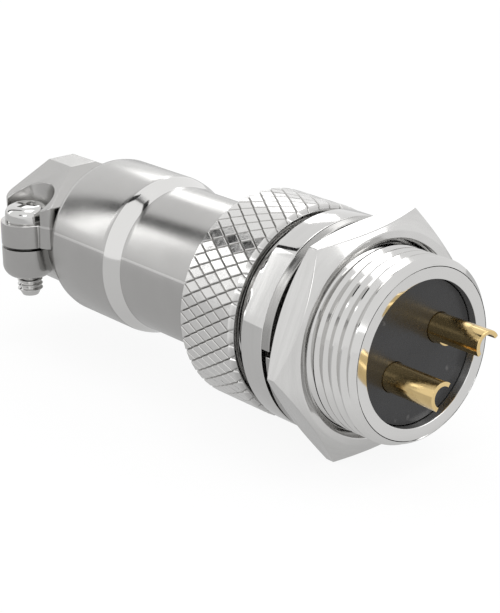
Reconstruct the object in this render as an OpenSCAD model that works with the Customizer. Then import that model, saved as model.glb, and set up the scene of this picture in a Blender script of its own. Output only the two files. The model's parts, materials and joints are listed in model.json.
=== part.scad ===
// Two-contact circular power connector, 16 mm size: a cable plug mated to its panel socket.
// Origin: on the connector's axis, in the plane of the flange face that bears on the panel.
// +X runs along the axis towards the socket's solder cups, +Z is up past the clamp screws' heads.

/* [Panel socket] */
// Length of the panel thread, from the flange to the open end
panel_thread_len = 9; // [8:0.5:14]
// Wall of the threaded barrels, from the front bore to the thread's root
barrel_wall = 0.8; // [0.6:0.05:1.2]
// Height of the shoulder inside that the insulator seats on
seat_h = 0.4; // [0.2:0.05:0.6]
// Depth of the insulator's face below the open end
face_recess = 0.8; // [0.4:0.1:1.5]
// Length of the chamfer at the open end
end_chamfer = 0.6; // [0.3:0.1:0.8]
// Height of the flange over the thread's crests
flange_h = 1.4; // [1.1:0.05:3]
// Thickness of the flange
flange_t = 3; // [2.5:0.1:4]
// Chamfer on the flange's edge towards the coupling ring
flange_chamfer = 0.5; // [0.2:0.1:0.8]
// Depth of the flange's two wrench flats
flange_flat_depth = 0.55; // [0.2:0.05:0.9]
// Place of the wrench flats, from +Y towards +Z
flange_flat_angle = 146; // [0:1:180]
// Length of the barrel in front of the flange
barrel_len = 5; // [4.6:0.1:7]

/* [Threads] */
// Pitch of the panel thread and the coupling thread
thread_pitch = 1; // [0.75:0.25:1.5]
// Depth of those threads
thread_depth = 0.5; // [0.3:0.05:0.6]
// Width of the flat on a crest
thread_land = 0.16; // [0.1:0.02:0.3]
// Pitch of the clamp screws
screw_pitch = 0.45; // [0.4:0.05:0.5]
// Depth of the clamp screws' thread
screw_thread_depth = 0.22; // [0.1:0.02:0.26]
// Width of the flat on a clamp screw's crest
screw_land = 0.07; // [0.04:0.01:0.1]

/* [Nut and lock washer] */
// Least wall of the nut, from its bore to a flat
nut_wall = 1.55; // [1.3:0.05:3]
// Thickness of the nut
nut_t = 3; // [2.4:0.1:4]
// Distance from the nut's flats in to the chamfer circle on both faces
nut_chamfer_inset = 0.4; // [0.2:0.05:0.7]
// Angle of that chamfer
nut_chamfer_angle = 30; // [15:1:32]
// Widening of the nut's bore at each face
nut_bore_chamfer = 0.5; // [0.2:0.1:0.7]
// Turn of the nut's corners, from +Y towards +Z
nut_turn = 6; // [0:1:60]
// Thickness of the washer's strip
washer_t = 0.96; // [0.7:0.02:1.3]
// Width of the washer's strip
washer_w = 1.3; // [1:0.05:1.6]
// Offset between the washer's two cut ends
washer_rise = 0.52; // [0.2:0.02:0.8]
// Opening between the washer's two cut ends, in degrees
washer_split = 3; // [2:1:12]
// Place of the washer's split, from +Y towards +Z
washer_split_angle = 180; // [0:1:359]

/* [Contacts] */
// Diameter of the circle that the contacts stand on
contact_circle_d = 5.8; // [5.2:0.1:6]
// Place of the upper contact, from +Y towards +Z
contact_angle = 31; // [0:1:180]
// Diameter of the pins
pin_d = 2; // [1.6:0.1:2.2]
// Length of the pins in front of the insulator
pin_len = 6; // [5.5:0.1:6.6]
// Rounding of the pins' tips
pin_round = 0.6; // [0.3:0.1:0.7]
// Outside diameter of the solder cups
cup_d = 2.5; // [2.3:0.1:2.8]
// Wall of the solder cups
cup_wall = 0.36; // [0.25:0.01:0.5]
// Length of the solder cups beyond the insulators
cup_len = 5.4; // [4.8:0.1:6]
// Depth of the hole in each solder cup
cup_depth = 4.8; // [4.5:0.1:5]
// Length of each cup that is cut open
cup_cut_len = 4.2; // [3:0.1:4.4]
// Distance of the cut from the cup's axis
cup_cut_offset = 0.1; // [0:0.05:0.4]
// Direction that the lower cup's opening faces, from +Y towards +Z
lower_cup_facing = -36; // [-180:1:180]
// Direction that the upper cup's opening faces, from +Y towards +Z
upper_cup_facing = -60; // [-180:1:180]
// Diameter of the collar that anchors a socket contact in its insulator
anchor_d = 3.4; // [3:0.1:3.6]
// Outside diameter of the female contacts
female_d = 3; // [2.9:0.1:3.2]
// Length of the female contacts' sleeve
female_len = 6.6; // [6.4:0.1:6.8]
// Depth of the hole in that sleeve
female_depth = 5.6; // [5.2:0.1:6]
// Length of the slit in that sleeve
slit_len = 3.6; // [2:0.1:4.5]
// Width of that slit
slit_w = 0.3; // [0.2:0.05:0.5]

/* [Insulators] */
// Thickness of the socket insulator's collar
insulator_collar_t = 1.2; // [0.8:0.1:1.6]
// Depth of the anchoring collar inside the socket's insulator
anchor_depth = 2; // [1.6:0.1:3]
// Thickness of that collar
anchor_t = 1; // [0.6:0.1:1.5]
// Length of the plug's insulator
plug_insulator_len = 7.5; // [7.4:0.1:8]
// Thickness of the plug insulator's front wall over the female contacts
front_wall_t = 0.25; // [0.2:0.05:0.5]

/* [Plug shell] */
// Bore of the plug's shell
plug_bore_d = 10.4; // [10.2:0.1:10.6]
// Height of the inward lip that stops the plug's insulator
nose_lip_h = 0.3; // [0.2:0.1:0.6]
// Thickness of that lip along the axis
nose_lip_t = 0.45; // [0.3:0.05:0.8]
// Wall of the nose, outside the bore
nose_wall = 1.3; // [1.1:0.05:1.5]
// Height of the collar that the coupling ring pulls on, over the nose
collar_h = 0.7; // [0.4:0.05:1]
// Thickness of that collar
collar_t = 1.1; // [0.8:0.1:1.6]
// Wall under the root of the rear thread
rear_wall = 0.5; // [0.4:0.05:0.7]
// Height of the waist over the rear thread's crests, where the coupling ring's lip turns
waist_h = 0.25; // [0.15:0.05:0.35]
// Depth of the rear thread
rear_thread_depth = 0.35; // [0.2:0.05:0.4]
// Length of the rear thread
rear_thread_len = 5.6; // [4.6:0.1:8]
// Width of the polarising key
key_w = 1.6; // [1.2:0.1:2]
// Height of the polarising key
key_h = 0.7; // [0.5:0.1:0.8]
// Distance of the key from the barrel's open end
key_lead = 0.5; // [0.2:0.1:1.5]
// Chamfer on the nose
nose_chamfer = 0.3; // [0.1:0.05:0.5]

/* [Coupling ring] */
// Wall of the coupling ring, from its thread to the top of the knurl
ring_wall = 1.45; // [1.2:0.05:3]
// Gap between the coupling ring and the flange
ring_gap = 0.75; // [0.3:0.05:1.2]
// Thickness of the ring's rear lip
lip_t = 1.3; // [1:0.1:2]
// Width of the ring's outer edge chamfers
ring_chamfer = 0.35; // [0.2:0.05:0.45]
// Widening of the ring's bore at its front
ring_mouth_chamfer = 0.6; // [0.3:0.05:0.7]
// Number of knurl diamonds around the ring
knurl_count = 48; // [40:1:60]
// Length of one knurl diamond along the axis
knurl_len = 2.05; // [1.4:0.05:2.4]
// Depth of the knurl
knurl_depth = 0.3; // [0.1:0.02:0.44]
// Share of each diamond that stays flat on top
knurl_top = 0.6; // [0.3:0.02:0.8]

/* [Back shell] */
// Wall of the back shell over the thread it screws onto
neck_wall = 0.7; // [0.6:0.05:1]
// Length of the front stretch
neck_len = 11.6; // [9:0.1:16]
// Length of the polished shoulder between the two stretches
shoulder_len = 1.8; // [1.2:0.1:2.4]
// Height of that shoulder
shoulder_h = 0.7; // [0.4:0.05:1.2]
// Length of the rear stretch
body_len = 8.9; // [7:0.1:14]
// Rounding of the rear edge
rear_round = 1.2; // [0.6:0.1:1.4]
// Thickness of the rear wall
rear_wall_t = 1.6; // [1.2:0.1:2.4]
// Wall of the front stretch around the wires
cavity_wall = 0.9; // [0.7:0.05:1.3]
// Bore of the cable entry
entry_d = 8.2; // [7.8:0.1:9]

/* [Cable clamp] */
// Length of the clamp along the axis
clamp_len = 7.4; // [7:0.1:9]
// Gap between the saddle and the back shell's end face
saddle_gap = 0.6; // [0.3:0.05:0.8]
// Bore of the closed clamp
clamp_bore_d = 5.8; // [5:0.1:6]
// Distance of each clamp screw from the connector's axis
screw_y = 6.7; // [6.6:0.05:7.2]
// Diameter of the ears that the screws pass through
ear_d = 5; // [4.8:0.1:5.4]
// Half the width of the clamp between its ears
clamp_half_w = 7.1; // [6.8:0.1:7.6]
// Rounding of the clamp's upright corners
clamp_corner_r = 1.3; // [0.8:0.1:1.6]
// Height of the saddle's top over the axis
saddle_top_z = 6; // [5.8:0.1:7]
// Half the width of the saddle's flat top
saddle_top_half_w = 1.4; // [1:0.1:2.5]
// Slope of the saddle's flanks
saddle_slope = 25.4; // [18:0.2:30]
// Length of the flat top behind the front slope
saddle_ridge_len = 3.8; // [3.4:0.1:5]
// Slope at the saddle's front
saddle_front_slope = 34; // [25:1:36]
// How far the pockets for the screw heads reach past the ears' edge
pocket_cut = 0.25; // [0:0.05:0.4]
// Height of the seats under the screw heads over the axis
seat_z = 1.8; // [1.4:0.1:2.2]
// Distance of the clamp's parting plane below the axis
parting_depth = 0.7; // [0.5:0.05:1]
// Gap between the two clamp halves
parting_gap = 0.25; // [0.15:0.05:0.4]
// Outside diameter of the lower half's trough
trough_d = 12.4; // [11.6:0.1:13]
// Depth of the lower ears below the axis
ear_depth = 3.8; // [3.4:0.1:4.4]
// Rounding under the lower ears
ear_round = 1.3; // [0.8:0.1:1.6]

/* [Screws] */
// Diameter over the crests of the clamp screws
screw_d = 2.4; // [2.2:0.1:2.6]
// Diameter of the clamp screws' heads
screw_head_d = 4.1; // [3.8:0.1:4.6]
// Height of those heads
screw_head_h = 1.5; // [1.3:0.1:1.8]
// Rounding of those heads
screw_head_round = 0.9; // [0.5:0.1:1]
// Length of the clamp screws under the head
screw_len = 7.5; // [7:0.1:9]
// Plain stretch under the head
screw_neck = 0.8; // [0.4:0.1:1.5]
// Length of the tapered point
screw_point = 0.4; // [0.2:0.05:0.8]
// Width of the arms of the cross recess
recess_w = 0.5; // [0.4:0.05:0.7]
// Length of the cross recess from end to end
recess_len = 2.3; // [1.8:0.1:2.6]
// Depth of the cross recess
recess_depth = 0.8; // [0.5:0.05:1]
// Turn of the cross recess
recess_turn = 20; // [0:5:90]
// Diameter of the locking set screw
set_screw_d = 1.8; // [1.6:0.1:2]
// Distance of the set screw from the back shell's front end
set_screw_x = 2.9; // [2:0.1:3.6]
// Place of the set screw around the shell, from +Y towards +Z
set_screw_angle = -20; // [-180:5:180]
// How deep the set screw bites into the plug's shell
set_screw_bite = 0.45; // [0.2:0.05:0.6]
// Chamfer on the set screw's point
set_screw_point = 0.25; // [0.1:0.05:0.4]
// Width of the set screw's slot
set_screw_slot_w = 0.3; // [0.2:0.05:0.4]
// Depth of that slot
set_screw_slot_depth = 0.4; // [0.2:0.05:0.6]

/* [Clearances] */
// Radial play of a thread or a turning fit
running_fit = 0.05; // [0.02:0.01:0.08]
// Play of a piece that is fixed in its seat
seat_fit = 0.02; // [0.01:0.01:0.04]
// Play between pieces that slide or turn past each other
slide_gap = 0.1; // [0.06:0.02:0.14]
// Play of a clamp screw in the saddle's hole
screw_hole_play = 0.15; // [0.1:0.05:0.3]
// Play around the key in its slot
key_play = 0.12; // [0.08:0.02:0.2]
// Width of the retaining rings along the axis
clip_t = 0.7; // [0.5:0.05:0.8]
// Radial height of the retaining rings
clip_h = 1.1; // [0.8:0.1:1.2]
// How far the retaining rings reach into their grooves
clip_grip = 0.25; // [0.15:0.05:0.35]
// Opening of the retaining rings, in degrees
clip_split = 44; // [36:4:80]

/* [Hidden] */
$fn = 96;

// Smallest play between two faces that are drawn up against each other
face_gap = 0.01;
// Overlap of a cutting tool past the face it leaves through
over = 1;

// Colours of the materials
plated = [0.80, 0.80, 0.79];
cast_plate = [0.66, 0.66, 0.65];
black_plastic = [0.08, 0.08, 0.085];
gold = [0.80, 0.66, 0.38];
spring_steel = [0.62, 0.62, 0.61];

// Radii
plug_bore_r = plug_bore_d / 2;
nose_r = plug_bore_r + nose_wall;
collar_r = nose_r + collar_h;
rear_thread_r = plug_bore_r + rear_wall + rear_thread_depth;
waist_r = rear_thread_r + waist_h;
barrel_bore_r = nose_r + slide_gap;
mouth_r = barrel_bore_r - seat_h;
coupling_r = barrel_bore_r + barrel_wall + thread_depth;
panel_r = coupling_r;
flange_r = panel_r + flange_h;
washer_bore_r = panel_r + 2 * running_fit;
nut_bore_r = panel_r + running_fit;
nut_flat_r = nut_bore_r + nut_wall;
nut_corner_r = nut_flat_r / cos(30);
nut_chamfer_r = nut_flat_r - nut_chamfer_inset;
ring_bore_r = coupling_r + running_fit;
ring_r = ring_bore_r + ring_wall;
lip_r = waist_r + slide_gap;
back_shell_bore_r = rear_thread_r + running_fit;
neck_r = back_shell_bore_r + neck_wall;
body_r = neck_r + shoulder_h;
cavity_r = neck_r - cavity_wall;
entry_r = entry_d / 2;
contact_circle_r = contact_circle_d / 2;
cup_r = cup_d / 2;
cup_bore_r = cup_r - cup_wall;
pin_r = pin_d / 2;
anchor_r = anchor_d / 2;
female_r = female_d / 2;
clamp_bore_r = clamp_bore_d / 2;
ear_r = ear_d / 2;
trough_r = trough_d / 2;
pocket_r = ear_r + pocket_cut;
screw_r = screw_d / 2;
screw_head_r = screw_head_d / 2;
set_screw_r = set_screw_d / 2;

// Stations along the axis, from the open end of the socket to the end of the clamp
socket_face_x = panel_thread_len - face_recess;
nut_x = washer_t + washer_rise + 2 * face_gap;
clip_x = -clip_t - face_gap;
barrel_end_x = -flange_t - barrel_len;
ring_front_x = -flange_t - ring_gap;
nose_x = clip_x - 3 * slide_gap;
nose_lip_x = nose_x - nose_lip_t;
plug_insulator_x = nose_lip_x - face_gap;
plug_insulator_rear_x = plug_insulator_x - plug_insulator_len;
female_x = plug_insulator_x - front_wall_t;
plug_clip_x = plug_insulator_rear_x - face_gap - clip_t;
collar_x = barrel_end_x - slide_gap;
collar_rear_x = collar_x - collar_t;
lip_x = collar_rear_x - slide_gap;
ring_rear_x = lip_x - lip_t;
waist_rear_x = ring_rear_x - slide_gap;
back_shell_x = waist_rear_x - face_gap;
rear_thread_end_x = waist_rear_x - rear_thread_len;
shoulder_front_x = back_shell_x - neck_len;
shoulder_rear_x = shoulder_front_x - shoulder_len;
body_rear_x = shoulder_rear_x - body_len;
cavity_rear_x = body_rear_x + rear_wall_t;
saddle_front_x = body_rear_x - saddle_gap;
clamp_rear_x = saddle_front_x - clamp_len;
screw_x = (saddle_front_x + clamp_rear_x) / 2;
parting_z = -parting_depth;
saddle_bottom_z = parting_z + parting_gap;

// A body turned about the X axis, from points given as [radius, station]
module turned(points) {
    rotate([0, 90, 0])
        rotate_extrude()
            polygon(points);
}

// A plain or hollow cylinder along X between two stations
module tube_x(outer_r, inner_r, from_x, to_x) {
    turned([[inner_r, from_x], [outer_r, from_x], [outer_r, to_x], [inner_r, to_x]]);
}

// A prism along X between two stations, from points given as [y, z]
module prism_x(points, from_x, to_x) {
    translate([from_x, 0, 0])
        rotate([90, 0, 90])
            linear_extrude(to_x - from_x)
                polygon(points);
}

// A wedge of the given opening about the X axis, used to split a ring
module wedge_x(angle, opening, r, from_x, to_x) {
    rotate([angle, 0, 0])
        prism_x([[0, 0],
                 [2 * r * cos(opening / 2), -2 * r * sin(opening / 2)],
                 [2 * r * cos(opening / 2), 2 * r * sin(opening / 2)]], from_x, to_x);
}

// Outline of one thread crest about its middle
function crest(r, depth, pitch, land, mid) =
    let (foot = pitch / 2 - land / 2)
    [[r - depth, mid - foot], [r, mid - land / 2], [r, mid + land / 2], [r - depth, mid + foot]];

// Outline of a row of crests, the first one about the given middle
function crests(r, depth, pitch, land, first_mid, count) =
    [for (i = [0:1:count - 1]) each crest(r, depth, pitch, land, first_mid + i * pitch)];

// Points of an arc in an outline, from one angle to another
function arc(centre, r, from_angle, to_angle, steps = 8) =
    [for (i = [0:steps])
        let (a = from_angle + (to_angle - from_angle) * i / steps)
        [centre[0] + r * cos(a), centre[1] + r * sin(a)]];

// Socket shell: threaded barrel, flange with two wrench flats, panel thread with a mouth
panel_crests = floor((panel_thread_len - end_chamfer - thread_pitch) / thread_pitch);
last_crest_x = panel_thread_len - end_chamfer - thread_land;
barrel_crests = floor((barrel_len - thread_pitch / 2 - 2 * thread_land) / thread_pitch);

module socket_shell() {
    color(plated)
    difference() {
        union() {
            turned(concat(
                [[barrel_bore_r, barrel_end_x]],
                [[coupling_r - thread_depth, barrel_end_x]],
                crests(coupling_r, thread_depth, thread_pitch, thread_land,
                       barrel_end_x + thread_pitch / 2 + thread_land, barrel_crests),
                [[coupling_r - thread_depth, -flange_t],
                 [flange_r - flange_chamfer, -flange_t],
                 [flange_r, -flange_t + flange_chamfer],
                 [flange_r, 0],
                 [panel_r - thread_depth, 0]],
                crests(panel_r, thread_depth, thread_pitch, thread_land,
                       last_crest_x - panel_crests * thread_pitch, panel_crests),
                [[panel_r - thread_depth, last_crest_x - thread_pitch / 2 + thread_land / 2],
                 [panel_r, last_crest_x - thread_land / 2],
                 [panel_r, panel_thread_len - end_chamfer],
                 [panel_r - end_chamfer, panel_thread_len],
                 [mouth_r, panel_thread_len],
                 [mouth_r, insulator_collar_t],
                 [barrel_bore_r, insulator_collar_t],
                 [barrel_bore_r, 0],
                 [barrel_bore_r + clip_grip, 0],
                 [barrel_bore_r + clip_grip, clip_x - face_gap],
                 [barrel_bore_r, clip_x - face_gap]]));
            // Key at the top of the barrel
            intersection() {
                translate([barrel_end_x + key_lead, -key_w / 2, barrel_bore_r - key_h])
                    cube([nose_x - barrel_end_x - key_lead, key_w, 2 * key_h]);
                tube_x(barrel_bore_r + thread_depth / 2, 0, barrel_end_x, 0);
            }
        }
        for (side = [0, 180])
            rotate([flange_flat_angle + side, 0, 0])
                translate([-flange_t - over, flange_r - flange_flat_depth, -flange_r])
                    cube([flange_t + over, flange_r, 2 * flange_r]);
    }
}

// Positions its children on a contact's own axis; contact 1 is the lower one
module at_contact(which) {
    rotate([contact_angle + (2 - which) * 180, 0, 0])
        translate([0, contact_circle_r, 0])
            rotate([-contact_angle - (2 - which) * 180, 0, 0])
                children();
}

// Socket insulator: collar against the shell's shoulder, long body inside the panel thread
module socket_insulator() {
    color(black_plastic)
    difference() {
        turned([[0, face_gap], [barrel_bore_r - running_fit, face_gap],
                [barrel_bore_r - running_fit, insulator_collar_t - face_gap],
                [mouth_r - running_fit, insulator_collar_t - face_gap],
                [mouth_r - running_fit, socket_face_x], [0, socket_face_x]]);
        for (which = [1, 2])
            at_contact(which)
                union() {
                    tube_x(cup_r + seat_fit, 0, -over, socket_face_x + over);
                    tube_x(anchor_r + seat_fit, 0, anchor_depth - seat_fit,
                           anchor_depth + anchor_t + seat_fit);
                }
    }
}

// Solder cup that points towards +X from a start station, its opening facing the given way
module solder_cup_cut(tip_x, facing) {
    tube_x(cup_bore_r, 0, tip_x - cup_depth, tip_x + over);
    rotate([facing, 0, 0])
        translate([tip_x - cup_cut_len, cup_cut_offset, -cup_d])
            cube([cup_cut_len + over, cup_d, 2 * cup_d]);
}

// Socket contact: pin in front, anchoring collar in the insulator, open solder cup behind
module socket_contact(which, facing) {
    tip_x = socket_face_x + cup_len;
    color(gold)
    at_contact(which)
        difference() {
            turned(concat(
                [[0, -pin_len]],
                arc([pin_r - pin_round, -pin_len + pin_round], pin_round, -90, 0),
                [[pin_r, 0], [cup_r, 0],
                 [cup_r, anchor_depth], [anchor_r, anchor_depth],
                 [anchor_r, anchor_depth + anchor_t], [cup_r, anchor_depth + anchor_t],
                 [cup_r, tip_x], [0, tip_x]]));
            solder_cup_cut(tip_x, facing);
        }
}

module socket_contact_1() {
    socket_contact(1, lower_cup_facing);
}

module socket_contact_2() {
    socket_contact(2, upper_cup_facing);
}

// Split spring ring that holds an insulator in its shell
module retaining_ring(groove_r, from_x, split_at) {
    color(spring_steel)
    difference() {
        tube_x(groove_r, groove_r - clip_h, from_x, from_x + clip_t);
        wedge_x(split_at, clip_split, groove_r, from_x - over, from_x + clip_t + over);
    }
}

module socket_retaining_ring() {
    retaining_ring(barrel_bore_r + clip_grip - seat_fit, clip_x, 90);
}

module plug_retaining_ring() {
    retaining_ring(plug_bore_r + clip_grip - seat_fit, plug_clip_x, -90);
}

// Lock washer: one turn of square strip whose two ends stand apart by the rise
module lock_washer() {
    steps = 72;
    sweep = 360 - washer_split;
    inner = washer_bore_r - over;
    outer = washer_bore_r + washer_w + over;
    points = [for (i = [0:steps])
        let (a = washer_split_angle - washer_split / 2 - sweep * i / steps,
             x = face_gap + washer_rise * i / steps)
        each [[x, inner * cos(a), inner * sin(a)], [x + washer_t, inner * cos(a), inner * sin(a)],
              [x + washer_t, outer * cos(a), outer * sin(a)], [x, outer * cos(a), outer * sin(a)]]];
    sides = [for (i = [0:steps - 1], k = [0:3])
        let (a = 4 * i + k, b = 4 * i + (k + 1) % 4)
        each [[a, b, b + 4], [a, b + 4, a + 4]]];
    ends = [[3, 2, 1, 0], [4 * steps, 4 * steps + 1, 4 * steps + 2, 4 * steps + 3]];
    color(spring_steel)
    intersection() {
        polyhedron(points, concat(sides, ends));
        tube_x(washer_bore_r + washer_w, washer_bore_r, -over, nut_x + over);
    }
}

// Hexagon nut, chamfered on both faces
module hex_nut() {
    reach = nut_corner_r + over;
    drop = (reach - nut_chamfer_r) * tan(nut_chamfer_angle);
    color(plated)
    intersection() {
        turned([[nut_bore_r + nut_bore_chamfer, nut_x],
                [nut_chamfer_r, nut_x],
                [reach, nut_x + drop],
                [reach, nut_x + nut_t - drop],
                [nut_chamfer_r, nut_x + nut_t],
                [nut_bore_r + nut_bore_chamfer, nut_x + nut_t],
                [nut_bore_r, nut_x + nut_t - nut_bore_chamfer],
                [nut_bore_r, nut_x + nut_bore_chamfer]]);
        prism_x([for (i = [0:5]) [nut_corner_r * cos(nut_turn + 60 * i),
                                  nut_corner_r * sin(nut_turn + 60 * i)]],
                nut_x - over, nut_x + nut_t + over);
    }
}

// Knurled blank of the coupling ring: flat-topped diamonds between two families of grooves
module knurled_blank() {
    n = knurl_count;
    length = ring_front_x - ring_rear_x - 2 * ring_chamfer;
    rows = round(length / (knurl_len / 2));
    step_x = length / rows;
    low_x = ring_rear_x + ring_chamfer;
    groove_r = ring_r - knurl_depth;
    k = knurl_top;
    corners = [for (i = [0:rows], c = [0:n - 1])
        let (j = 2 * c + i % 2)
        knurl_point(low_x + i * step_x, j, groove_r)];
    tops = [for (i = [0:rows], c = [0:n - 1])
        let (j = 2 * c + (i + 1) % 2, x = low_x + i * step_x,
             up = i == rows ? 0 : k * step_x, down = i == 0 ? 0 : k * step_x)
        each [knurl_point(x + up, j, ring_r), knurl_point(x, j + k, ring_r),
              knurl_point(x - down, j, ring_r), knurl_point(x, j - k, ring_r)]];
    low_rim = [for (c = [0:n - 1])
        let (j = 2 * c + 1)
        each [for (a = [j - 1, j - k, j + k]) knurl_point(ring_rear_x, a, ring_r - ring_chamfer)]];
    high_rim = [for (c = [0:n - 1])
        let (j = 2 * c + (rows + 1) % 2)
        each [for (a = [j - 1, j - k, j + k]) knurl_point(ring_front_x, a, ring_r - ring_chamfer)]];
    top_at = (rows + 1) * n;
    low_at = 5 * top_at;
    high_at = low_at + 3 * n;
    full_cells = [for (i = [1:rows - 1], c = [0:n - 1])
        let (j = 2 * c + (i + 1) % 2, t = top_at + 4 * (i * n + c),
             high = corner_at(i + 1, j), right = corner_at(i, j + 1),
             low = corner_at(i - 1, j), left = corner_at(i, j - 1))
        each [[t, t + 1, t + 2], [t, t + 2, t + 3],
              [high, right, t + 1], [high, t + 1, t], [right, low, t + 2], [right, t + 2, t + 1],
              [low, left, t + 3], [low, t + 3, t + 2], [left, high, t], [left, t, t + 3]]];
    low_cells = [for (c = [0:n - 1])
        let (j = 2 * c + 1, t = top_at + 4 * c, high = corner_at(1, j),
             right = corner_at(0, j + 1), left = corner_at(0, j - 1),
             p = low_at + 3 * c, q = low_at + 3 * ((c + 1) % n))
        each [[t, t + 1, t + 3], [high, right, t + 1], [high, t + 1, t],
              [left, high, t], [left, t, t + 3],
              [left, t + 3, p + 1], [left, p + 1, p], [t + 3, t + 1, p + 2],
              [t + 3, p + 2, p + 1], [t + 1, right, q], [t + 1, q, p + 2]]];
    high_cells = [for (c = [0:n - 1])
        let (j = 2 * c + (rows + 1) % 2, t = top_at + 4 * (rows * n + c),
             low = corner_at(rows - 1, j),
             right = corner_at(rows, j + 1), left = corner_at(rows, j - 1),
             p = high_at + 3 * c, q = high_at + 3 * ((c + 1) % n))
        each [[t + 1, t + 2, t + 3], [right, low, t + 2], [right, t + 2, t + 1],
              [low, left, t + 3], [low, t + 3, t + 2],
              [p, p + 1, t + 3], [p, t + 3, left], [p + 1, p + 2, t + 1],
              [p + 1, t + 1, t + 3], [p + 2, q, right], [p + 2, right, t + 1]]];
    caps = [[for (i = [0:3 * n - 1]) low_at + i], [for (i = [3 * n - 1:-1:0]) high_at + i]];
    polyhedron(concat(corners, tops, low_rim, high_rim),
               concat(full_cells, low_cells, high_cells, caps));
}

// A point of the knurl: j counts half diamonds around the ring
function knurl_point(x, j, r) =
    [x, r * cos(j * 180 / knurl_count), r * sin(j * 180 / knurl_count)];

// Number of the groove corner in row i at half diamond j
function corner_at(i, j) =
    i * knurl_count + floor(((j + 2 * knurl_count) % (2 * knurl_count)) / 2);

// Coupling ring: knurled, with a threaded cavity and a lip that pulls on the plug's collar
module coupling_ring() {
    color(plated)
    difference() {
        knurled_blank();
        turned([[0, ring_rear_x - over], [lip_r, ring_rear_x - over], [lip_r, lip_x],
                [ring_bore_r, lip_x], [ring_bore_r, ring_front_x - ring_mouth_chamfer],
                [ring_bore_r + ring_mouth_chamfer + over, ring_front_x + over],
                [0, ring_front_x + over]]);
    }
}

// Plug shell: slotted nose, collar, waist and rear thread
rear_crests = floor((rear_thread_len - thread_land) / thread_pitch);

module plug_shell() {
    color(plated)
    difference() {
        turned(concat(
            [[plug_bore_r, rear_thread_end_x],
             [rear_thread_r - rear_thread_depth, rear_thread_end_x]],
            crests(rear_thread_r, rear_thread_depth, thread_pitch, thread_land,
                   rear_thread_end_x + thread_pitch / 2, rear_crests),
            [[rear_thread_r - rear_thread_depth, waist_rear_x],
             [waist_r, waist_rear_x],
             [waist_r, collar_rear_x],
             [collar_r, collar_rear_x],
             [collar_r, collar_x],
             [nose_r, collar_x],
             [nose_r, nose_x - nose_chamfer],
             [nose_r - nose_chamfer, nose_x],
             [plug_bore_r - nose_lip_h, nose_x],
             [plug_bore_r - nose_lip_h, nose_lip_x],
             [plug_bore_r, nose_lip_x],
             [plug_bore_r, plug_insulator_rear_x],
             [plug_bore_r + clip_grip, plug_insulator_rear_x],
             [plug_bore_r + clip_grip, plug_clip_x - face_gap],
             [plug_bore_r, plug_clip_x - face_gap]]));
        // Slot for the socket's key
        translate([collar_x, -key_w / 2 - key_play, barrel_bore_r - key_h - key_play])
            cube([nose_x - collar_x + over, key_w + 2 * key_play, 2 * key_h + key_play]);
        at_set_screw()
            cylinder(h = neck_r, r = set_screw_r + seat_fit);
    }
}

// Places its children where the set screw's point ends, with +Z leading outwards
module at_set_screw() {
    translate([back_shell_x - set_screw_x, 0, 0])
        rotate([set_screw_angle - 90, 0, 0])
            translate([0, 0, rear_thread_r - set_screw_bite])
                children();
}

// Plug insulator: holds the two female contacts
module plug_insulator() {
    color(black_plastic)
    difference() {
        tube_x(plug_bore_r - seat_fit, 0, plug_insulator_rear_x, plug_insulator_x);
        for (which = [1, 2])
            at_contact(which)
                union() {
                    tube_x(pin_r + slide_gap, 0, female_x - over, plug_insulator_x + over);
                    tube_x(female_r + seat_fit, 0, female_x - female_len - seat_fit, female_x);
                    tube_x(cup_r + seat_fit, 0, plug_insulator_rear_x - over, female_x);
                }
    }
}

// Plug contact: slit sleeve in front, solder cup behind
module plug_contact(which, facing) {
    tip_x = plug_insulator_rear_x - cup_len;
    color(gold)
    at_contact(which)
        difference() {
            turned([[0, tip_x], [cup_r, tip_x], [cup_r, female_x - female_len],
                    [female_r, female_x - female_len], [female_r, female_x - face_gap],
                    [0, female_x - face_gap]]);
            tube_x(pin_r + running_fit, 0, female_x - female_depth, female_x + over);
            rotate([facing, 0, 0])
                translate([female_x - slit_len, -slit_w / 2, -female_d])
                    cube([slit_len + over, slit_w, 2 * female_d]);
            mirror([1, 0, 0])
                solder_cup_cut(-tip_x, facing);
        }
}

module plug_contact_1() {
    plug_contact(1, lower_cup_facing);
}

module plug_contact_2() {
    plug_contact(2, upper_cup_facing);
}

// Back shell with the lower half of the cable clamp cast on
module back_shell() {
    color(cast_plate)
    difference() {
        union() {
            turned(concat(
                [[entry_r, body_rear_x]],
                arc([body_r - rear_round, body_rear_x + rear_round], rear_round, -90, 0),
                [[body_r, shoulder_rear_x],
                 [neck_r, shoulder_front_x],
                 [neck_r, back_shell_x],
                 [back_shell_bore_r, back_shell_x],
                 [back_shell_bore_r, rear_thread_end_x - slide_gap],
                 [cavity_r, rear_thread_end_x - slide_gap],
                 [cavity_r, cavity_rear_x],
                 [entry_r, cavity_rear_x]]));
            difference() {
                lower_clamp();
                tube_x(cavity_r, 0, cavity_rear_x, 0);
            }
        }
        tube_x(entry_r, 0, body_rear_x, cavity_rear_x + over);
        at_set_screw()
            cylinder(h = neck_r, r = set_screw_r + running_fit);
    }
}

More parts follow.
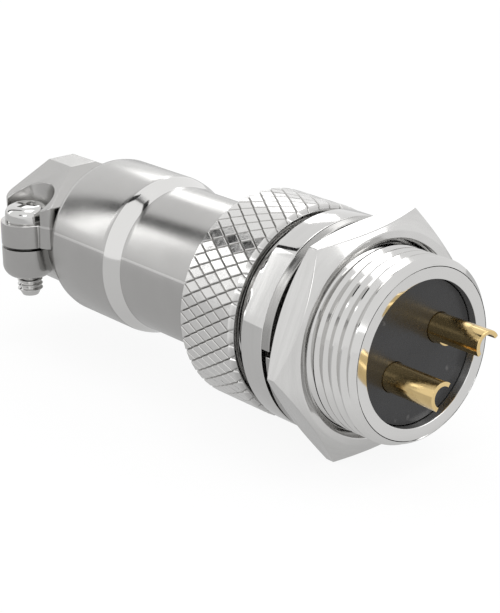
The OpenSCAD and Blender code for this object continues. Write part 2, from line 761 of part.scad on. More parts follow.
// Lower half of the clamp: trough with two threaded ears
module lower_clamp() {
    difference() {
        union() {
            intersection() {
                tube_x(trough_r, 0, clamp_rear_x, body_rear_x + rear_wall_t / 2);
                translate([clamp_rear_x - over, -body_r, -body_r])
                    cube([clamp_len + 3 * over, 2 * body_r, body_r + parting_z]);
            }
            for (side = [-1, 1])
                translate([screw_x, side * screw_y, 0])
                    rotate_extrude()
                        polygon(concat(
                            [[0, -ear_depth]],
                            arc([ear_r - ear_round, -ear_depth + ear_round], ear_round, -90, 0),
                            [[ear_r, parting_z], [0, parting_z]]));
        }
        tube_x(clamp_bore_r, 0, clamp_rear_x - over, body_rear_x);
        for (side = [-1, 1])
            translate([screw_x, side * screw_y, -ear_depth - over])
                cylinder(h = ear_depth + 2 * over, r = screw_r + running_fit);
    }
}

// Set screw that locks the back shell on the plug shell's thread
module locking_set_screw() {
    length = neck_r - rear_thread_r + set_screw_bite - face_gap;
    color(plated)
    at_set_screw()
        difference() {
            rotate_extrude()
                polygon([[0, face_gap], [set_screw_r - set_screw_point, face_gap],
                         [set_screw_r, face_gap + set_screw_point],
                         [set_screw_r, length], [0, length]]);
            translate([-set_screw_d, -set_screw_slot_w / 2, length - set_screw_slot_depth])
                cube([2 * set_screw_d, set_screw_slot_w, length]);
        }
}

// Plan of the saddle: rounded block with a round ear on each side
module saddle_plan() {
    half_x = clamp_len / 2;
    c = clamp_corner_r;
    translate([screw_x, 0]) {
        square([clamp_len - 2 * c, 2 * clamp_half_w], center = true);
        square([clamp_len, 2 * clamp_half_w - 2 * c], center = true);
        for (sx = [-1, 1], sy = [-1, 1])
            translate([sx * (half_x - c), sy * (clamp_half_w - c)])
                circle(r = c);
        for (side = [-1, 1])
            translate([0, side * screw_y])
                circle(r = ear_r);
    }
}

// Saddle: roofed upper half of the clamp with a pocket for each screw head
module clamp_saddle() {
    side_y = screw_y + ear_r;
    side_z = saddle_top_z - (side_y - saddle_top_half_w) * tan(saddle_slope);
    ridge_x = clamp_rear_x + saddle_ridge_len;
    front_drop = (clamp_len - saddle_ridge_len + over) * tan(saddle_front_slope);
    color(cast_plate)
    difference() {
        intersection() {
            prism_x([[-side_y, saddle_bottom_z], [side_y, saddle_bottom_z], [side_y, side_z],
                     [saddle_top_half_w, saddle_top_z], [-saddle_top_half_w, saddle_top_z],
                     [-side_y, side_z]], clamp_rear_x, saddle_front_x);
            translate([0, 0, saddle_bottom_z - over])
                linear_extrude(saddle_top_z - saddle_bottom_z + 2 * over)
                    saddle_plan();
        }
        translate([0, side_y + over, 0])
            rotate([90, 0, 0])
                linear_extrude(2 * side_y + 2 * over)
                    polygon([[ridge_x, saddle_top_z],
                             [saddle_front_x + over, saddle_top_z - front_drop],
                             [saddle_front_x + over, saddle_top_z + over],
                             [ridge_x, saddle_top_z + over]]);
        tube_x(clamp_bore_r, 0, clamp_rear_x - over, saddle_front_x + over);
        for (side = [-1, 1])
            translate([screw_x, side * screw_y, 0]) {
                translate([0, 0, seat_z])
                    cylinder(h = saddle_top_z, r = pocket_r);
                translate([0, 0, saddle_bottom_z - over])
                    cylinder(h = saddle_top_z, r = screw_r + screw_hole_play);
            }
    }
}

// Clamp screw: pan head with a cross recess
module clamp_screw(side) {
    tip_z = seat_z - screw_len;
    head_z = seat_z + face_gap;
    thread_z = tip_z + screw_point;
    turns = floor((screw_len - screw_neck - screw_point) / screw_pitch);
    color(plated)
    translate([screw_x, side * screw_y, 0])
        difference() {
            rotate_extrude()
                polygon(concat(
                    [[0, tip_z],
                     [screw_r - screw_thread_depth - screw_point / 2, tip_z],
                     [screw_r - screw_thread_depth, thread_z]],
                    crests(screw_r, screw_thread_depth, screw_pitch, screw_land,
                           thread_z + screw_pitch / 2, turns),
                    [[screw_r - screw_thread_depth, head_z],
                     [screw_head_r, head_z]],
                    arc([screw_head_r - screw_head_round, head_z + screw_head_h - screw_head_round],
                        screw_head_round, 0, 90),
                    [[0, head_z + screw_head_h]]));
            for (turn = [0, 90])
                rotate([0, 0, recess_turn + turn])
                    translate([-recess_len / 2, -recess_w / 2, head_z + screw_head_h - recess_depth])
                        cube([recess_len, recess_w, recess_depth + over]);
        }
}

module clamp_screw_1() {
    clamp_screw(-1);
}

module clamp_screw_2() {
    clamp_screw(1);
}

socket_shell();
socket_insulator();
socket_contact_1();
socket_contact_2();
socket_retaining_ring();
lock_washer();
hex_nut();
coupling_ring();
plug_shell();
plug_insulator();
plug_contact_1();
plug_contact_2();
plug_retaining_ring();
back_shell();
locking_set_screw();
clamp_saddle();
clamp_screw_1();
clamp_screw_2();
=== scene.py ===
import bpy
import bmesh
import json
import math
from mathutils import Matrix, Vector


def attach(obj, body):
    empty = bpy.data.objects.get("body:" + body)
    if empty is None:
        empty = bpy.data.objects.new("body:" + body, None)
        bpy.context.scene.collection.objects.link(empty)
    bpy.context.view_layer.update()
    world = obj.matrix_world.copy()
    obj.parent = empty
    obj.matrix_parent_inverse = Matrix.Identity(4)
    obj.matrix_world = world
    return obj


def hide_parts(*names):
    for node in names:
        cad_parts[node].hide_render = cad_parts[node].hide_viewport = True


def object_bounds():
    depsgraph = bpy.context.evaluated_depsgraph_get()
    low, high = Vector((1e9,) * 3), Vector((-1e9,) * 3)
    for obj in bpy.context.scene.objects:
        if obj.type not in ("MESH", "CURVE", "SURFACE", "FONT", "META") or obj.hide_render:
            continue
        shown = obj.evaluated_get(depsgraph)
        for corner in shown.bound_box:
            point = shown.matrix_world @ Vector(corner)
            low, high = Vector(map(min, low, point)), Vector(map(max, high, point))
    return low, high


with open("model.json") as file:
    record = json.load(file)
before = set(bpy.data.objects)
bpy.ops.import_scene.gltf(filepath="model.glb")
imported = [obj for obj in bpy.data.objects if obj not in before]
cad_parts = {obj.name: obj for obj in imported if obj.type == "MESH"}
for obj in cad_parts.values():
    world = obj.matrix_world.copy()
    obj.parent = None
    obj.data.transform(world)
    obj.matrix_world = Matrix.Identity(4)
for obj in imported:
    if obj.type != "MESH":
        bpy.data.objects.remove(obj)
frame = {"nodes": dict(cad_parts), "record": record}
cadBox = [list(corner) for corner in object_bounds()]
scene = bpy.context.scene
mm = 0.001
axisX = Vector((1, 0, 0))

# camera: long lens, low over the bench, seen from the solder-cup end
view = {
    "lens": 105.7,
    "place": (101.78, -96.10, 53.37),
    "azimuth": 40.1,
    "elevation": 20.3,
    "roll": -0.5,
}


def makeCamera():
    data = bpy.data.cameras.new("camera")
    data.lens = view["lens"]
    data.sensor_width = 36
    data.clip_start, data.clip_end = 0.005, 5
    camera = bpy.data.objects.new("camera", data)
    scene.collection.objects.link(camera)
    a, e, roll = (math.radians(view[k]) for k in ("azimuth", "elevation", "roll"))
    back = Vector((math.cos(e) * math.cos(a), -math.cos(e) * math.sin(a), math.sin(e)))
    right = Vector((0, 0, 1)).cross(back).normalized()
    up = back.cross(right)
    right, up = (
        math.cos(roll) * right + math.sin(roll) * up,
        math.cos(roll) * up - math.sin(roll) * right,
    )
    turn = Matrix((right, up, back)).transposed().to_4x4()
    camera.matrix_world = Matrix.Translation(Vector(view["place"]) * mm) @ turn
    scene.camera = camera


makeCamera()
print("camera placed")


# shader sockets as numbers: an expression adds its Math nodes
class Wire:
    def __init__(self, tree, socket):
        self.tree, self.socket = tree, socket

    def join(self, operation, first, second):
        node = self.tree.nodes.new("ShaderNodeMath")
        node.operation = operation
        for slot, value in zip(node.inputs, (first, second)):
            if isinstance(value, Wire):
                self.tree.links.new(value.socket, slot)
            elif value is not None:
                slot.default_value = value
        return Wire(self.tree, node.outputs[0])

    def __add__(self, other):
        return self.join("ADD", self, other)

    def __sub__(self, other):
        return self.join("SUBTRACT", self, other)

    def __rsub__(self, other):
        return self.join("SUBTRACT", other, self)

    def __mul__(self, other):
        return self.join("MULTIPLY", self, other)

    def __pow__(self, other):
        return self.join("POWER", self, other)

    __radd__ = __add__
    __rmul__ = __mul__

    def greater(self, other):
        return self.join("MAXIMUM", self, other)

    def size(self):
        return self.join("ABSOLUTE", self, None)


class Recipe:
    def __init__(self, name):
        self.material = bpy.data.materials.new(name)
        self.material.use_nodes = True
        self.tree = self.material.node_tree
        self.tree.nodes.clear()
        self.out = self.tree.nodes.new("ShaderNodeOutputMaterial")

    # any node: its settings first, then the values or wires of its sockets
    def node(self, kind, settings=None, output=0, **sockets):
        node = self.tree.nodes.new(kind)
        for key, value in (settings or {}).items():
            if key == "stops":
                ramp = node.color_ramp
                while len(ramp.elements) < len(value):
                    ramp.elements.new(1)
                for element, (at, shade) in zip(ramp.elements, value):
                    element.position = at
                    element.color = (shade, shade, shade, 1)
            else:
                setattr(node, key, value)
        for key, value in sockets.items():
            wanted = key.replace("_", " ").lower()
            slot = next(s for s in node.inputs if s.name.lower() == wanted and s.enabled)
            if isinstance(value, Wire):
                self.tree.links.new(value.socket, slot)
            elif isinstance(value, tuple) and len(value) == 3 and slot.type == "RGBA":
                slot.default_value = (*value, 1)
            else:
                slot.default_value = value
        return Wire(self.tree, node.outputs[output])

    def place(self, scale=(1, 1, 1)):
        here = self.node("ShaderNodeTexCoord", output=3)
        return self.node("ShaderNodeMapping", Vector=here, Scale=scale)

    def split(self, vector):
        node = self.tree.nodes.new("ShaderNodeSeparateXYZ")
        self.tree.links.new(vector.socket, node.inputs[0])
        return [Wire(self.tree, socket) for socket in node.outputs]

    def noise(self, scale, detail=3, rough=0.5, stretch=(1, 1, 1)):
        return self.node("ShaderNodeTexNoise", {"noise_dimensions": "3D"}, Vector=self.place(stretch),
                         Scale=scale, Detail=detail, Roughness=rough)

    def ramp(self, factor, *stops):
        return self.node("ShaderNodeValToRGB", {"stops": stops}, Fac=factor)

    def spread(self, value, low, high, to=(0, 1)):
        return self.node("ShaderNodeMapRange", {"clamp": True}, Value=value, From_Min=low,
                         From_Max=high, To_Min=to[0], To_Max=to[1])

    def blend(self, factor, first, second):
        node = self.tree.nodes.new("ShaderNodeMix")
        node.data_type = "RGBA"
        for slot, value in zip((node.inputs[0], node.inputs[6], node.inputs[7]), (factor, first, second)):
            if isinstance(value, Wire):
                self.tree.links.new(value.socket, slot)
            else:
                slot.default_value = (*value, 1) if isinstance(value, tuple) else value
        return Wire(self.tree, node.outputs[2])

    def bump(self, height, distance, strength=1.0):
        return self.node("ShaderNodeBump", Height=height, Strength=strength, Distance=distance)

    def finish(self, **sockets):
        shader = self.node("ShaderNodeBsdfPrincipled", **sockets)
        self.tree.links.new(shader.socket, self.out.inputs["Surface"])
        return self.material


# finishes, in mm where a size is meant
finish = {
    "nickel": (0.66, 0.655, 0.645),
    "satin": (0.50, 0.495, 0.485),
    "spring": (0.42, 0.415, 0.405),
    "gold": (0.80, 0.60, 0.29),
    "black": (0.010, 0.010, 0.011),
    "polishRough": 0.07,
    "shoulderRough": 0.10,
    "shoulder": (-22.3, -24.1),
    "seamAt": 166,
    "castDepth": 0.0000025,
}
polishDepth = 0.000004


def scaled(tint, share):
    return tuple(c * share for c in tint)


def polishedMetal(name, tint, rough=finish["polishRough"], lay=(1, 1, 1), streak=900, wave=0.3):
    r = Recipe(name)
    broad = r.noise(180, 2)
    fine = r.noise(streak, 4, 0.6, stretch=lay)
    mottle = r.spread(broad * 0.6 + fine * 0.4, 0.35, 0.65)
    shade = r.blend(mottle, scaled(tint, 0.93), tint)
    roughness = r.spread(fine, 0.3, 0.7, (rough * 0.7, rough * 1.5))
    normal = r.bump(broad * wave + fine * 0.15, polishDepth)
    return r.finish(Base_Color=shade, Metallic=1.0, Roughness=roughness, Normal=normal)


def brushedNut():
    r = Recipe("nutPlate")
    broad = r.noise(160, 2)
    fine = r.noise(2600, 4, 0.65, stretch=(1, 0.06, 0.06))
    x, y, z = r.split(r.place())
    radius = (y * y + z * z) ** 0.5
    side = r.spread(radius, 9.3 * mm, 9.6 * mm)
    shade = r.blend(r.spread(fine, 0.3, 0.7), scaled(finish["nickel"], 0.9), finish["nickel"])
    roughness = r.spread(broad, 0.3, 0.7, (0.09, 0.15)) + side * 0.06
    normal = r.bump(fine * 0.5 + broad * 0.4, polishDepth)
    return r.finish(Base_Color=shade, Metallic=1.0, Roughness=roughness, Normal=normal)


def knurledPlate(top, floor):
    r = Recipe("knurledPlate")
    x, y, z = r.split(r.place())
    radius = (y * y + z * z) ** 0.5
    # painted shade and highlight: by radius, the base colour is darker down in the knurl grooves and
    # lighter on the diamond tops
    height = r.spread(radius, floor, top)
    fine = r.noise(1500, 4, 0.6)
    shade = r.blend(height, scaled(finish["nickel"], 0.86), scaled(finish["nickel"], 1.1))
    roughness = r.spread(fine, 0.3, 0.7, (0.10, 0.26))
    normal = r.bump(fine, 3 * polishDepth)
    return r.finish(Base_Color=shade, Metallic=1.0, Roughness=roughness, Normal=normal)


def satinCast():
    r = Recipe("satinCast")
    x, y, z = r.split(r.place())
    grain = r.noise(5200, 3, 0.7)
    cloud = r.noise(220, 3, 0.6)
    front, rear = (station * mm for station in finish["shoulder"])
    middle, half = (front + rear) / 2, (front - rear) / 2
    bright = r.spread((x - middle).size(), 0.98 * half, 1.02 * half, (1, 0))
    at = math.radians(finish["seamAt"])
    seam = (y * math.sin(at) - z * math.cos(at)).size()
    near = r.spread(y, -1 * mm, 0, (1, 0))
    # a seam ridge on the near side: raised by the bump, and painted lighter along it as a painted
    # highlight
    seamRidgeAndGlint = r.spread(seam, 0.06 * mm, 0.16 * mm, (1, 0)) * near * (1 - bright)
    shade = r.blend(r.spread(cloud, 0.3, 0.7), scaled(finish["satin"], 0.94), finish["satin"])
    shade = r.blend(seamRidgeAndGlint * 0.5, shade, (0.80, 0.79, 0.78))
    shade = r.blend(bright, shade, scaled(finish["nickel"], 1.12))
    cast = r.spread(grain * 0.5 + cloud * 0.5, 0.35, 0.65, (0.20, 0.27))
    roughness = cast * (1 - bright) + bright * finish["shoulderRough"]
    normal = r.bump(grain * (1 - bright) + seamRidgeAndGlint * 2, finish["castDepth"], 0.7)
    return r.finish(Base_Color=shade, Metallic=1.0, Roughness=roughness, Normal=normal)


def moulding(name):
    r = Recipe(name)
    grain = r.noise(2600, 4, 0.6)
    cloud = r.noise(300, 3)
    speck = r.ramp(r.noise(900, 2, 0.4), (0.0, 0.0), (0.70, 0.0), (0.76, 0.16))
    shade = r.blend(r.spread(cloud, 0.3, 0.7), finish["black"], scaled(finish["black"], 1.5))
    shade = r.blend(speck, shade, (0.35, 0.34, 0.33))
    roughness = r.spread(grain, 0.3, 0.7, (0.20, 0.34))
    normal = r.bump(grain * 0.6 + cloud, 1.5 * polishDepth)
    return r.finish(Base_Color=shade, Roughness=roughness, Normal=normal)


def goldFlash():
    r = Recipe("goldFlash")
    cloud = r.noise(420, 4, 0.65)
    pits = r.noise(2400, 4, 0.7)
    shade = r.blend(r.spread(cloud, 0.3, 0.7), scaled(finish["gold"], 0.86), finish["gold"])
    roughness = r.spread(pits, 0.3, 0.7, (0.08, 0.20))
    normal = r.bump(pits * 0.7 + cloud, 2 * polishDepth)
    return r.finish(Base_Color=shade, Metallic=1.0, Roughness=roughness, Normal=normal)


# pieces
def place(name, bm, body, material, stands=(), sharp=32):
    bmesh.ops.remove_doubles(bm, verts=bm.verts, dist=1e-7)
    bmesh.ops.recalc_face_normals(bm, faces=bm.faces)
    mesh = bpy.data.meshes.new(name)
    bm.to_mesh(mesh)
    bm.free()
    for face in mesh.polygons:
        face.use_smooth = True
    mesh.set_sharp_from_angle(angle=math.radians(sharp))
    mesh.materials.append(material)
    piece = bpy.data.objects.new(name, mesh)
    scene.collection.objects.link(piece)
    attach(piece, body)
    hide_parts(*stands)
    return piece


def bevelEdges(piece, width, segments=3, angle=35):
    soft = piece.modifiers.new("bevel", "BEVEL")
    soft.width = width * mm
    soft.segments = segments
    soft.limit_method = "ANGLE"
    soft.angle_limit = math.radians(angle)
    soft.use_clamp_overlap = True


# a solid copied from the frame, with its flat faces made whole and its edges eased
def easedCopy(node, body, material, width, segments=3, angle=35):
    bm = bmesh.new()
    bm.from_mesh(frame["nodes"][node].data)
    bmesh.ops.remove_doubles(bm, verts=bm.verts, dist=1e-6)
    bmesh.ops.dissolve_limit(bm, angle_limit=math.radians(0.6), verts=bm.verts, edges=bm.edges)
    piece = place(node + "_eased", bm, body, material, (node,), 30)
    bevelEdges(piece, width, segments, angle)


# closed outline of (x, radius) in mm spun about the axis; a third number rounds that corner
def spun(bm, outline, steps=160):
    corners = [bm.verts.new((p[0] * mm, p[1] * mm, 0)) for p in outline]
    for pair in zip(corners, corners[1:] + corners[:1]):
        bm.edges.new(pair)
    fresh = set(corners)
    for rounding in sorted({p[2] for p in outline if len(p) > 2}, reverse=True):
        chosen = [v for v, p in zip(corners, outline) if len(p) > 2 and p[2] == rounding]
        made = bmesh.ops.bevel(bm, geom=chosen, offset=rounding * mm, offset_type="OFFSET",
                               segments=4, profile=0.5, affect="VERTICES", material=-1)
        fresh |= set(made["verts"])
    verts = [v for v in fresh if v.is_valid]
    edges = list({e for v in verts for e in v.link_edges})
    bmesh.ops.spin(bm, geom=verts + edges, cent=(0, 0, 0), axis=axisX, dvec=(0, 0, 0),
                   angle=2 * math.pi, steps=steps, use_merge=True)


# a right-hand thread's skin: several crests spun together, advancing one pitch in the turn
def threadSkin(bm, crest, depth, pitch, land, start, count, limit, steps=144):
    outline = []
    for k in range(count):
        mid = start + (k + 0.5) * pitch
        foot = pitch / 2 - land / 2
        outline += [(mid - foot, crest - depth), (mid - land / 2, crest),
                    (mid + land / 2, crest), (mid + foot, crest - depth)]
    skin = bmesh.new()
    row = [skin.verts.new((x * mm, r * mm, 0)) for x, r in outline]
    edges = [skin.edges.new(pair) for pair in zip(row, row[1:])]
    bmesh.ops.subdivide_edges(skin, edges=edges, cuts=2)
    bmesh.ops.spin(skin, geom=skin.verts[:] + skin.edges[:], cent=(0, 0, 0), axis=axisX,
                   dvec=(pitch * mm / steps, 0, 0), angle=2 * math.pi, steps=steps)
    for v in skin.verts:
        x, radius = v.co.x / mm, math.hypot(v.co.y, v.co.z) / mm
        x, wanted = limit(x, radius)
        v.co = Vector((x * mm, v.co.y * wanted / radius, v.co.z * wanted / radius))
    mesh = bpy.data.meshes.new("thread")
    skin.to_mesh(mesh)
    skin.free()
    bm.from_mesh(mesh)
    bpy.data.meshes.remove(mesh)


socket = {
    "barrelEnd": -8.0, "barrelBore": 6.6, "seat": 1.2, "mouth": 6.2, "end": 9.0,
    "root": 7.4, "crest": 7.9, "pitch": 1.0, "depth": 0.5, "land": 0.14,
    "flange": 9.3, "flangeFront": -3.0, "flangeEdge": 0.5,
    "chamferStart": 8.4, "chamfer": 0.6, "flatDepth": 0.55, "flatAt": 146,
}


def makeSocketShell(material):
    s = socket
    bm = bmesh.new()
    core = s["root"] - 0.02
    spun(bm, [
        (s["barrelEnd"], s["barrelBore"], 0.1), (s["barrelEnd"], core, 0.1),
        (s["flangeFront"], core), (s["flangeFront"], s["flange"] - s["flangeEdge"], 0.06),
        (s["flangeFront"] + s["flangeEdge"], s["flange"], 0.12), (0, s["flange"], 0.08),
        (0, core), (s["end"] - 0.02, core - 0.2), (s["end"], core - 0.12, 0.05),
        (s["end"], s["mouth"], 0.1), (s["seat"], s["mouth"]), (s["seat"], s["barrelBore"]),
    ])
    for turn in (0, 180):
        across = Matrix.Rotation(math.radians(s["flatAt"] + turn), 3, "X") @ Vector((0, 1, 0))
        flat = (s["flange"] - s["flatDepth"]) * mm
        for v in bm.verts:
            out = v.co.dot(across)
            if out > flat:
                v.co -= across * (out - flat)

    def limit(x, radius):
        x = min(max(x, 0.05), s["end"])
        past = max(0, x - s["chamferStart"]) / (s["end"] - s["chamferStart"])
        lid = s["crest"] - past * s["chamfer"]
        return x, min(radius, lid)

    form = (s["crest"], s["depth"], s["pitch"], s["land"])
    threadSkin(bm, *form, start=-0.3, count=11, limit=limit)

    def limitFront(x, radius):
        x = min(max(x, s["barrelEnd"]), s["flangeFront"] - 0.25)
        lid = s["crest"] - max(0, s["barrelEnd"] + 0.5 - x)
        if x > s["flangeFront"] - 0.6:
            lid = core - 0.05
        return x, min(radius, lid)

    threadSkin(bm, *form, start=s["barrelEnd"] - 1.2, count=6, limit=limitFront)
    place("socketShellTurned", bm, "socket", material, ("socket_shell",))


ring = {
    "rear": -10.6, "front": -3.75, "knurl": 9.4, "bore": 7.95, "cavityRear": -9.3, "lip": 6.4,
    "edge": 0.35, "mouth": 0.6, "count": 48, "cell": 2.05, "depth": 0.22, "inset": 0.14,
}


# a flat sheet of raised diamonds, cut to size and wrapped on the ring, over a turned body
def makeCouplingRing(material):
    s = ring
    bm = bmesh.new()
    length = s["front"] - s["rear"]
    width = 2 * math.pi * s["knurl"] / s["count"]
    reach = s["count"] + 6
    bmesh.ops.create_grid(bm, x_segments=reach, y_segments=reach,
                          size=reach / 2 / math.sqrt(2) * mm)
    bmesh.ops.rotate(bm, verts=bm.verts, cent=(0, 0, 0), matrix=Matrix.Rotation(math.pi / 4, 3, "Z"))
    bmesh.ops.scale(bm, verts=bm.verts, vec=(s["cell"], width, 1))
    end = length / 2 * mm
    spare = [f for f in bm.faces if abs(f.calc_center_median().x) > end + s["cell"] * mm]
    bmesh.ops.delete(bm, geom=spare, context="FACES")
    bmesh.ops.translate(bm, verts=bm.verts, vec=(0, 0, -s["depth"] * mm))
    bmesh.ops.inset_individual(bm, faces=bm.faces[:], thickness=s["inset"] * 0.75 * mm,
                               depth=s["depth"] * 0.85 * mm)
    tops = [f for f in bm.faces if f.calc_center_median().z > -0.2 * s["depth"] * mm]
    bmesh.ops.inset_individual(bm, faces=tops, thickness=s["inset"] * 0.45 * mm,
                               depth=s["depth"] * 0.15 * mm)
    half = s["count"] / 2 * width * mm
    edge = end - s["edge"] * mm
    for point, away, clear in (
        ((0, half, 0), (0, 1, 0), True), ((0, -half, 0), (0, -1, 0), True),
        ((end, 0, 0), (1, 0, 0), True), ((-end, 0, 0), (-1, 0, 0), True),
        ((edge, 0, 0), (1, 0, 0), False), ((-edge, 0, 0), (-1, 0, 0), False),
    ):
        bmesh.ops.bisect_plane(bm, geom=bm.verts[:] + bm.edges[:] + bm.faces[:], dist=1e-8,
                               plane_co=point, plane_no=away, clear_outer=clear)
    middle = (s["front"] + s["rear"]) / 2 * mm
    for v in bm.verts:
        turn = v.co.y / (s["knurl"] * mm)
        x = v.co.x / mm
        lid = s["knurl"] - max(0, abs(x) - (length / 2 - s["edge"]))
        radius = min(s["knurl"] + v.co.z / mm, lid) * mm
        v.co = Vector((v.co.x + middle, radius * math.cos(turn), radius * math.sin(turn)))
    core = s["knurl"] - s["edge"] - 0.01
    spun(bm, [
        (s["rear"], core, 0.05), (s["front"], core, 0.05),
        (s["front"], s["bore"] + s["mouth"], 0.08), (s["front"] - s["mouth"], s["bore"], 0.05),
        (s["cavityRear"], s["bore"]), (s["cavityRear"], s["lip"]), (s["rear"], s["lip"], 0.15),
    ])
    place("couplingRingKnurled", bm, "ring", material, ("coupling_ring",), 20)


shell = {
    "front": -10.71, "radius": 6.8, "cone": -22.31, "shoulder": -24.11, "big": 7.5, "rear": -33.01,
    "rearRound": 1.2, "cavity": 5.9, "floor": -31.2, "cable": 4.1, "coneRound": 0.5,
}


# the lower clamp is the frame's own solid; the round body ahead of it is turned
def makeBackShell(material):
    s = shell
    bm = bmesh.new()
    bm.from_mesh(frame["nodes"]["back_shell"].data)
    bmesh.ops.remove_doubles(bm, verts=bm.verts, dist=1e-6)
    bmesh.ops.bisect_plane(bm, geom=bm.verts[:] + bm.edges[:] + bm.faces[:], dist=1e-8,
                           plane_co=((s["rear"] + 0.3) * mm, 0, 0), plane_no=axisX, clear_outer=True)
    bmesh.ops.dissolve_limit(bm, angle_limit=math.radians(0.6), verts=bm.verts, edges=bm.edges)
    outside = [f for f in bm.faces if f.calc_center_median().x > (s["rear"] + 0.05) * mm
               and f.calc_center_median().yz.length > 6.3 * mm]
    bmesh.ops.delete(bm, geom=outside, context="FACES")
    clamp = place("lowerClamp", bm, "plug", material, ("back_shell",), 30)
    bevelEdges(clamp, 0.2, 3, 50)
    bm = bmesh.new()
    spun(bm, [
        (s["front"], s["cavity"], 0.1), (s["front"], s["radius"], 0.12),
        (s["cone"], s["radius"], s["coneRound"]), (s["shoulder"], s["big"], s["coneRound"]),
        (s["rear"], s["big"], s["rearRound"]), (s["rear"], s["cable"]),
        (s["floor"], s["cable"]), (s["floor"], s["cavity"]),
    ], 192)
    place("backShellTurned", bm, "plug", material, (), 40)


# studio
studio = {
    "white": 1.0, "fill": 0.95, "paper": (0.95, 0.95, 0.95), "card": (0.01, 0.01, 0.01),
    "floorSize": 3.0, "floorGap": 0.0002, "floorSeen": 0.90,
    "floorMirrored": (0.60, 0.90), "floorTurns": (0.002, 0.016),
    "soft": [
        # name, place, size, radiance
        ("overhead", (0.05, 0.05, 0.60), (0.30, 0.30), 2.2),
        ("behind", (-0.36, 0.26, 0.24), (0.12, 0.14), 1.7),
        ("rim", (0.37, 0.23, 0.24), (0.25, 0.20), 2.0),
        ("left", (-0.40, -0.25, 0.20), (0.07, 0.25), 1.8),
        ("front", (0.40, -0.42, 0.30), (0.20, 0.20), 1.6),
    ],
    "flags": [
        # name, place, size
        ("strip", (-0.36, -0.13, 0.33), (0.10, 0.60)),
        ("patch", (0.12, -0.42, 0.25), (0.12, 0.09)),
    ],
}


direct = ("Is Camera Ray", "Is Glossy Ray", "Is Transmission Ray")


# faces the connector from where it stands
def look(piece, spot):
    facing = (-Vector(spot)).to_track_quat("-Z", "Y").to_matrix().to_4x4()
    piece.matrix_world = Matrix.Translation(Vector(spot)) @ facing


def rays(tree, *kinds):
    path = tree.nodes.new("ShaderNodeLightPath")
    total = Wire(tree, path.outputs[kinds[0]])
    for kind in kinds[1:]:
        total = total.greater(Wire(tree, path.outputs[kind]))
    return total


# a flat sheet of the given width and depth, in metres
def sheet(name, width, depth, height=0):
    bm = bmesh.new()
    bmesh.ops.create_grid(bm, x_segments=1, y_segments=1, size=0.5)
    bmesh.ops.scale(bm, verts=bm.verts, vec=(width, depth, 1))
    bmesh.ops.translate(bm, verts=bm.verts, vec=(0, 0, height))
    mesh = bpy.data.meshes.new(name)
    bm.to_mesh(mesh)
    bm.free()
    made = bpy.data.objects.new(name, mesh)
    scene.collection.objects.link(made)
    return made


# seen directly the floor is white; mirrored in metal it is greyer behind the flange, a painted shade in
# the reflections
def makeFloor():
    span = 2 * studio["floorSize"]
    floor = sheet("floor", span, span, cadBox[0][2] - studio["floorGap"])
    r = Recipe("floorPaper")
    mirrored = rays(r.tree, "Is Glossy Ray")
    x, y, z = r.split(r.place())
    paintedMirrorShade = r.spread(x, *studio["floorTurns"], studio["floorMirrored"])
    strength = studio["white"] - mirrored * (studio["white"] - paintedMirrorShade)
    paper = r.node("ShaderNodeBsdfDiffuse", Color=studio["paper"])
    glow = r.node("ShaderNodeEmission", Color=(1, 1, 1), Strength=strength)
    mixed = r.node("ShaderNodeMixShader", Fac=rays(r.tree, *direct) * studio["floorSeen"])
    for slot, shader in zip(mixed.socket.node.inputs[1:], (paper, glow)):
        r.tree.links.new(shader.socket, slot)
    r.tree.links.new(mixed.socket, r.out.inputs["Surface"])
    floor.data.materials.append(r.material)


def makeWorld():
    world = bpy.data.worlds.new("world")
    scene.world = world
    world.use_nodes = True
    back = world.node_tree.nodes["Background"]
    strength = rays(world.node_tree, *direct) * (studio["white"] - studio["fill"]) + studio["fill"]
    back.inputs["Color"].default_value = (1, 1, 1, 1)
    world.node_tree.links.new(strength.socket, back.inputs["Strength"])


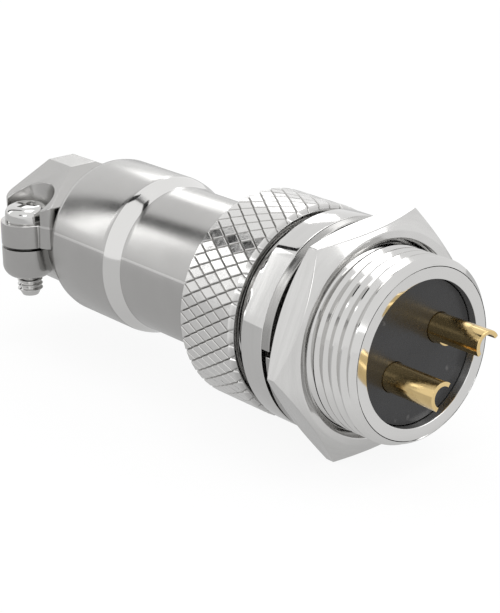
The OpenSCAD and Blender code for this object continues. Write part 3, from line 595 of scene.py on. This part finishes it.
def makeSoftboxes():
    for name, spot, (width, depth), radiance in studio["soft"]:
        data = bpy.data.lights.new(name, "AREA")
        data.shape = "RECTANGLE"
        data.size, data.size_y = width, depth
        data.energy = radiance * math.pi * width * depth
        lamp = bpy.data.objects.new(name, data)
        scene.collection.objects.link(lamp)
        look(lamp, spot)


# black cards seen only in the metal
def makeFlags():
    for name, spot, size in studio["flags"]:
        flag = sheet(name, *size)
        look(flag, spot)
        flag.visible_camera = False
        flag.visible_shadow = False
        flag.visible_diffuse = False
        r = Recipe(name + "Black")
        flag.data.materials.append(r.finish(Base_Color=studio["card"], Roughness=1.0))


makeFloor()
makeWorld()
makeSoftboxes()
makeFlags()
print("studio lit")

nickel = polishedMetal("brightNickel", finish["nickel"])
thread = polishedMetal("turnedNickel", finish["nickel"], 0.08, lay=(1, 0.05, 0.05), streak=2400)
steel = polishedMetal("screwSteel", finish["nickel"], 0.10)
spring = polishedMetal("springSteel", finish["spring"], 0.22, lay=(1, 0.1, 0.1), streak=2600)
nutPlate = brushedNut()
knurl = knurledPlate(ring["knurl"] * mm, (ring["knurl"] - ring["depth"]) * mm)
cast = satinCast()
black = moulding("blackMoulding")
gold = goldFlash()

finishes = {
    "plated_shell": nickel, "bright_nut": nutPlate, "knurled_plate": knurl, "satin_cast": cast,
    "screw_steel": steel, "spring_steel": spring, "black_insulator": black, "gold_contact": gold,
}
record = frame["record"]
slotOf = {part["node"]: part["material_slot"] for part in record["subparts"]}
bodyOf = {node: body for body, nodes in record["behaviour"]["bodies"].items() for node in nodes}
for name, node in frame["nodes"].items():
    node.data.materials.clear()
    node.data.materials.append(finishes[slotOf[name]])
print("finishes made")

makeSocketShell(thread)
makeCouplingRing(knurl)
makeBackShell(cast)
for name, width, segments, angle in (
    ("hex_nut", 0.14, 3, 25), ("lock_washer", 0.07, 2, 50), ("clamp_saddle", 0.22, 3, 20),
    ("clamp_screw_1", 0.05, 2, 50), ("clamp_screw_2", 0.05, 2, 50),
    ("socket_contact_1", 0.06, 2, 50), ("socket_contact_2", 0.06, 2, 50),
    ("socket_insulator", 0.06, 2, 50),
):
    easedCopy(name, bodyOf[name], finishes[slotOf[name]], width, segments, angle)
print("pieces made")

scene.view_settings.view_transform = "Standard"
